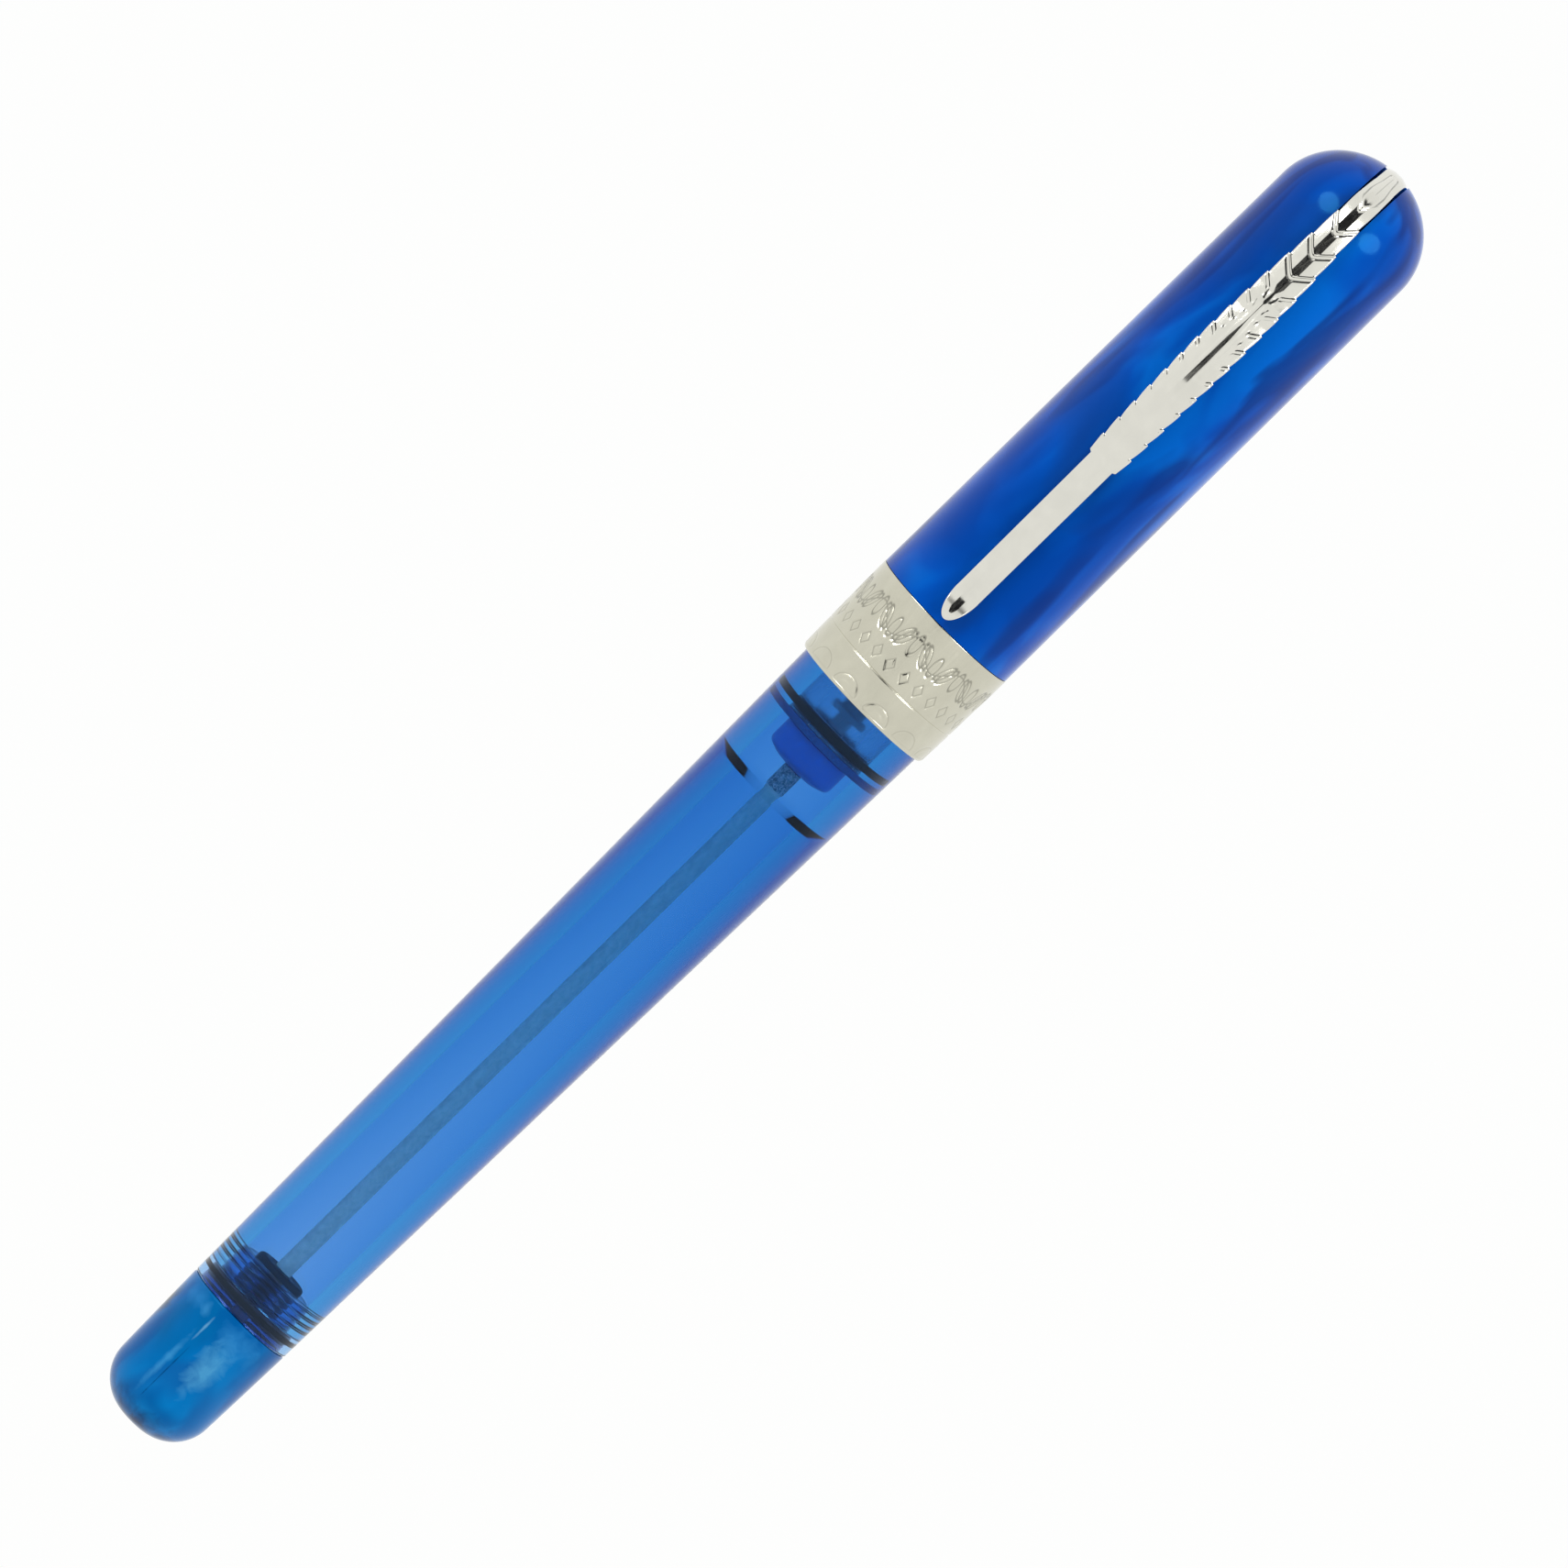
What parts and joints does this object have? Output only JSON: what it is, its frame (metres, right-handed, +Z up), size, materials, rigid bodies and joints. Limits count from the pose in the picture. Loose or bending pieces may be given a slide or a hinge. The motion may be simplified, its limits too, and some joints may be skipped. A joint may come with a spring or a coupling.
{
  "type": "gel pen",
  "caption": "Capped gel pen with a clear barrel filled by a pull-out plunger, a domed cap with a wide metal band and a quill-shaped spring clip.",
  "frame": {"origin": "middle of the pen's length, under its axis, on the lowest line of the cap band", "axes": "+X along the pen from the tail knob to the cap's crown, +Z up through the clip, +Y to the left"},
  "size_m": [0.142, 0.0136, 0.0159],
  "materials": {
    "clear_blue": "polished clear blue resin",
    "marbled_blue": "polished resin, blue with darker clouded streaks",
    "marbled_turquoise": "polished resin, turquoise blue with pale clouds",
    "solid_blue": "moulded, satin",
    "bright_metal": "polished plating, warm white",
    "steel": "fine turned",
    "carbide": "ground and polished",
    "rod_grey": "drawn rod, satin",
    "ferrule_grey": "knurled, worn dark",
    "brass": "turned",
    "magnet": "plated",
    "black_rubber": "moulded, slightly greased",
    "navy_rubber": "moulded",
    "pale_clear": "frosted clear resin with a pale blue tint",
    "smoke_plastic": "moulded, translucent smoke grey",
    "milky_plastic": "moulded, translucent white",
    "fibre": "bonded polyester fibre"
  },
  "bodies": {
    "barrel_body": {"barrel": "clear_blue", "gland_bush": "clear_blue", "gland_seal": "black_rubber", "tail_o_ring": "black_rubber", "grip_section": "pale_clear", "section_o_ring": "black_rubber", "chamber_gasket": "navy_rubber", "closure_ring": "steel", "ink_feed": "smoke_plastic", "feed_wick": "fibre", "nose_cone": "bright_metal", "tip_tube": "steel", "writing_ball": "carbide"},
    "plunger": {"plunger_rod": "rod_grey", "rod_ferrule": "ferrule_grey", "plunger_head": "solid_blue", "plunger_seal": "navy_rubber"},
    "knob": {"filler_knob": "marbled_turquoise", "knob_collet": "brass"},
    "cap": {"cap_shell": "marbled_blue", "cap_band": "bright_metal", "inner_cap": "milky_plastic", "cap_magnet": "magnet", "clip_pin": "steel", "clip_spring": "steel"},
    "clip_body": {"clip": "bright_metal"}
  },
  "joints": [
    {"name": "cap_pull", "type": "slide", "parent": "barrel_body", "child": "cap", "axis": [1, 0, 0], "range_m": [0, 0.07]},
    {"name": "clip_flex", "type": "hinge", "parent": "cap", "child": "clip_body", "pos_m": [0.0652, 0, 0.01], "axis": [0, 1, 0], "range_deg": [0, 3.5], "stiffness_Nm_per_rad": 1},
    {"name": "plunger_draw", "type": "slide", "parent": "barrel_body", "child": "plunger", "axis": [-1, 0, 0], "range_m": [0, 0.054]},
    {"name": "knob_turn", "type": "hinge", "parent": "plunger", "child": "knob", "pos_m": [-0.0625, 0, 0.0068], "axis": [1, 0, 0], "range_deg": [0, 1800]}
  ]
}
